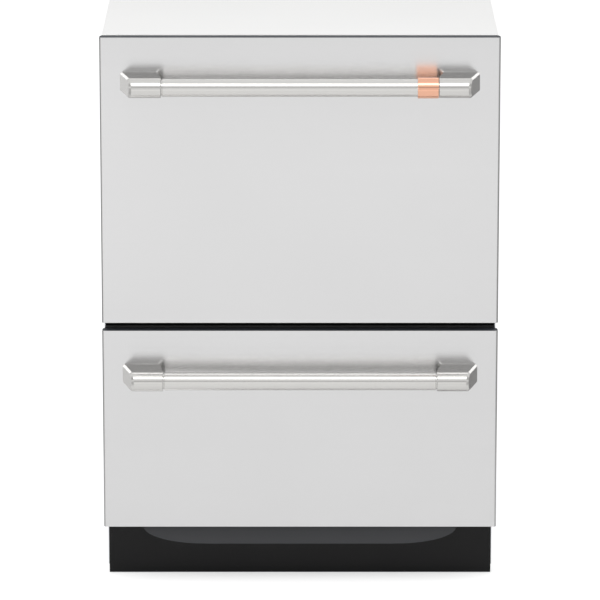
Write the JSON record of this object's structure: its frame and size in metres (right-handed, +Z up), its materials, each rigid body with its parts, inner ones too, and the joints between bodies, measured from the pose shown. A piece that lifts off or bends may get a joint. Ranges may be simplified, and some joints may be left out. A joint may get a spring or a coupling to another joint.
{
  "type": "double dishwasher drawer",
  "caption": "Built-in dishwasher with an upper and a lower drawer, steel fronts, round bar handles, tubs with racks and spray arms, lids that close on the tubs, and a black toe kick.",
  "frame": {"origin": "on the floor, under the middle of the bounding box, handles included", "axes": "+X to the right of someone facing the doors, +Y towards the back, +Z up"},
  "size_m": [0.598, 0.631, 0.86],
  "materials": {
    "front_steel": "horizontal brushed grain",
    "handle_steel": "fine satin",
    "copper": "satin copper colour",
    "cap_plastic": "fine texture",
    "tub_plastic": "moulded",
    "kick_black": "semi-gloss",
    "cabinet_white": "satin",
    "galvanised": "zinc coated",
    "slide_steel": "zinc plated",
    "shelf_black": "satin",
    "rack_coat": "nylon coating on steel wire",
    "arm_plastic": "moulded",
    "lid_plastic": "moulded",
    "seal_rubber": "soft",
    "black_plastic": "moulded",
    "service_plastic": "moulded"
  },
  "bodies": {
    "cabinet": {"right_side_panel": "galvanised", "left_side_panel": "galvanised", "back_panel": "galvanised", "top_panel": "cabinet_white", "base_pan": "galvanised", "middle_shelf": "shelf_black", "toe_kick": "kick_black", "inlet_valve": "service_plastic", "drain_outlet": "black_plastic", "terminal_box": "service_plastic", "control_module": "black_plastic", "upper_rail_right": "slide_steel", "upper_rail_left": "slide_steel", "lower_rail_right": "slide_steel", "lower_rail_left": "slide_steel", "upper_lid_lift": "black_plastic", "lower_lid_lift": "black_plastic"},
    "foot_fl": {"foot_front_left": "black_plastic"},
    "foot_fr": {"foot_front_right": "black_plastic"},
    "foot_bl": {"foot_back_left": "black_plastic"},
    "foot_br": {"foot_back_right": "black_plastic"},
    "upper_slides": {"upper_slide_middle_right": "slide_steel", "upper_slide_middle_left": "slide_steel"},
    "lower_slides": {"lower_slide_middle_right": "slide_steel", "lower_slide_middle_left": "slide_steel"},
    "upper_drawer": {"upper_front_panel": "front_steel", "upper_front_liner": "cap_plastic", "upper_handle_bar": "handle_steel", "upper_bracket_right": "handle_steel", "upper_bracket_left": "handle_steel", "accent_band": "copper", "upper_tub": "tub_plastic", "upper_runner_right": "slide_steel", "upper_runner_left": "slide_steel", "upper_rack": "rack_coat", "upper_wash_motor": "black_plastic"},
    "lower_drawer": {"lower_front_panel": "front_steel", "lower_front_liner": "cap_plastic", "lower_handle_bar": "handle_steel", "lower_bracket_right": "handle_steel", "lower_bracket_left": "handle_steel", "lower_tub": "tub_plastic", "lower_runner_right": "slide_steel", "lower_runner_left": "slide_steel", "lower_rack": "rack_coat", "lower_wash_motor": "black_plastic"},
    "upper_arm": {"upper_spray_arm": "arm_plastic"},
    "lower_arm": {"lower_spray_arm": "arm_plastic"},
    "upper_cover": {"upper_dispenser_door": "arm_plastic"},
    "lower_cover": {"lower_dispenser_door": "arm_plastic"},
    "upper_lid_body": {"upper_lid": "lid_plastic", "upper_lid_seal": "seal_rubber"},
    "lower_lid_body": {"lower_lid": "lid_plastic", "lower_lid_seal": "seal_rubber"},
    "upper_power": {"upper_power_button": "handle_steel"},
    "upper_program": {"upper_program_button": "handle_steel"},
    "upper_start": {"upper_start_button": "handle_steel"},
    "lower_power": {"lower_power_button": "handle_steel"},
    "lower_program": {"lower_program_button": "handle_steel"},
    "lower_start": {"lower_start_button": "handle_steel"}
  },
  "joints": [
    {"name": "upper_drawer_slide", "type": "slide", "parent": "cabinet", "child": "upper_drawer", "axis": [0, -1, 0], "range_m": [0, 0.5]},
    {"name": "upper_slide_travel", "type": "slide", "parent": "cabinet", "child": "upper_slides", "axis": [0, -1, 0], "range_m": [0, 0.25]},
    {"name": "lower_drawer_slide", "type": "slide", "parent": "cabinet", "child": "lower_drawer", "axis": [0, -1, 0], "range_m": [0, 0.5]},
    {"name": "lower_slide_travel", "type": "slide", "parent": "cabinet", "child": "lower_slides", "axis": [0, -1, 0], "range_m": [0, 0.25]},
    {"name": "upper_lid_travel", "type": "slide", "parent": "cabinet", "child": "upper_lid_body", "axis": [0, 0, 1], "range_m": [-0.006, 0]},
    {"name": "lower_lid_travel", "type": "slide", "parent": "cabinet", "child": "lower_lid_body", "axis": [0, 0, 1], "range_m": [-0.006, 0]},
    {"name": "upper_arm_spin", "type": "hinge", "parent": "upper_drawer", "child": "upper_arm", "pos_m": [0, 0.032, 0.497], "axis": [0, 0, 1], "continuous": true},
    {"name": "lower_arm_spin", "type": "hinge", "parent": "lower_drawer", "child": "lower_arm", "pos_m": [0, 0.032, 0.134], "axis": [0, 0, 1], "continuous": true},
    {"name": "upper_cover_slide", "type": "slide", "parent": "upper_drawer", "child": "upper_cover", "axis": [1, 0, 0], "range_m": [0, 0.06]},
    {"name": "lower_cover_slide", "type": "slide", "parent": "lower_drawer", "child": "lower_cover", "axis": [1, 0, 0], "range_m": [0, 0.06]},
    {"name": "upper_power_press", "type": "slide", "parent": "upper_drawer", "child": "upper_power", "axis": [0, 0, -1], "range_m": [0, 0.001], "stiffness_N_per_m": 300, "springref_m": -0.0005},
    {"name": "upper_program_press", "type": "slide", "parent": "upper_drawer", "child": "upper_program", "axis": [0, 0, -1], "range_m": [0, 0.001], "stiffness_N_per_m": 300, "springref_m": -0.0005},
    {"name": "upper_start_press", "type": "slide", "parent": "upper_drawer", "child": "upper_start", "axis": [0, 0, -1], "range_m": [0, 0.001], "stiffness_N_per_m": 300, "springref_m": -0.0005},
    {"name": "lower_power_press", "type": "slide", "parent": "lower_drawer", "child": "lower_power", "axis": [0, 0, -1], "range_m": [0, 0.001], "stiffness_N_per_m": 300, "springref_m": -0.0005},
    {"name": "lower_program_press", "type": "slide", "parent": "lower_drawer", "child": "lower_program", "axis": [0, 0, -1], "range_m": [0, 0.001], "stiffness_N_per_m": 300, "springref_m": -0.0005},
    {"name": "lower_start_press", "type": "slide", "parent": "lower_drawer", "child": "lower_start", "axis": [0, 0, -1], "range_m": [0, 0.001], "stiffness_N_per_m": 300, "springref_m": -0.0005},
    {"name": "foot_front_left_turn", "type": "hinge", "parent": "cabinet", "child": "foot_fl", "pos_m": [-0.264, -0.1415, 0.02], "axis": [0, 0, 1], "continuous": true},
    {"name": "foot_front_right_turn", "type": "hinge", "parent": "cabinet", "child": "foot_fr", "pos_m": [0.264, -0.1415, 0.02], "axis": [0, 0, 1], "continuous": true},
    {"name": "foot_back_left_turn", "type": "hinge", "parent": "cabinet", "child": "foot_bl", "pos_m": [-0.264, 0.2835, 0.02], "axis": [0, 0, 1], "continuous": true},
    {"name": "foot_back_right_turn", "type": "hinge", "parent": "cabinet", "child": "foot_br", "pos_m": [0.264, 0.2835, 0.02], "axis": [0, 0, 1], "continuous": true}
  ],
  "couplings": [
    {"joint": "upper_slide_travel", "follows": "upper_drawer_slide", "ratio": 0.5},
    {"joint": "lower_slide_travel", "follows": "lower_drawer_slide", "ratio": 0.5}
  ]
}
